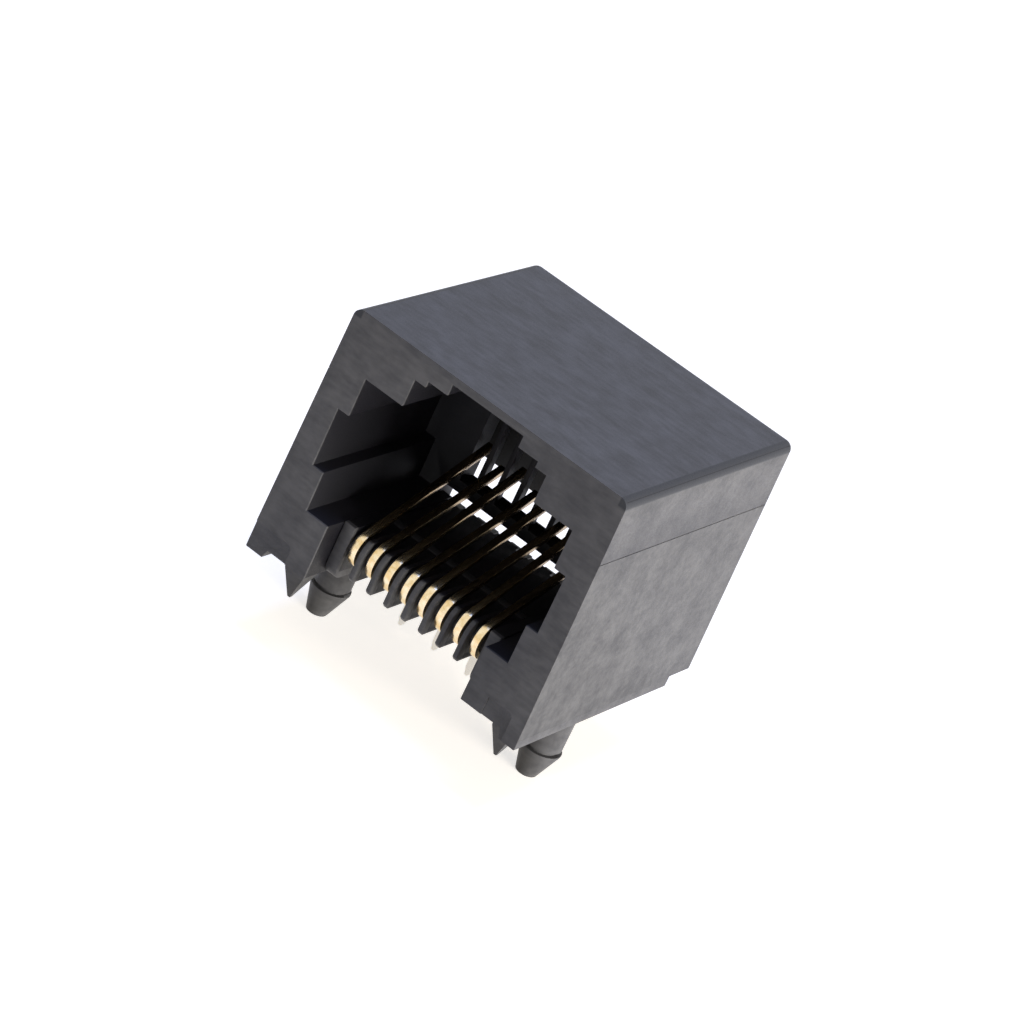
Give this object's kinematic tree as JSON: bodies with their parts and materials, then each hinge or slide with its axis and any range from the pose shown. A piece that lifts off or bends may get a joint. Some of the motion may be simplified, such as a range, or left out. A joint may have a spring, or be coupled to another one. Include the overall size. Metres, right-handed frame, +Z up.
{
  "type": "rj45 board jack",
  "caption": "Side-entry modular jack for a circuit board: black keyed housing with snap pegs, a comb insert and looped spring contacts.",
  "frame": {"origin": "on the board plane, midway between the two snap pegs", "axes": "+Z up off the board, +Y from the plug side to the back, +X to the right seen from the plug side"},
  "size_m": [0.0158, 0.0148, 0.0168],
  "materials": {
    "black_plastic": "matte moulded, faintly mottled",
    "contact_gold": "gold-plated loops and arms, tin-plated tails"
  },
  "bodies": {
    "root": {"housing": "black_plastic", "contact_insert": "black_plastic", "contact_1": "contact_gold", "contact_2": "contact_gold", "contact_3": "contact_gold", "contact_4": "contact_gold", "contact_5": "contact_gold", "contact_6": "contact_gold", "contact_7": "contact_gold", "contact_8": "contact_gold"}
  },
  "joints": []
}
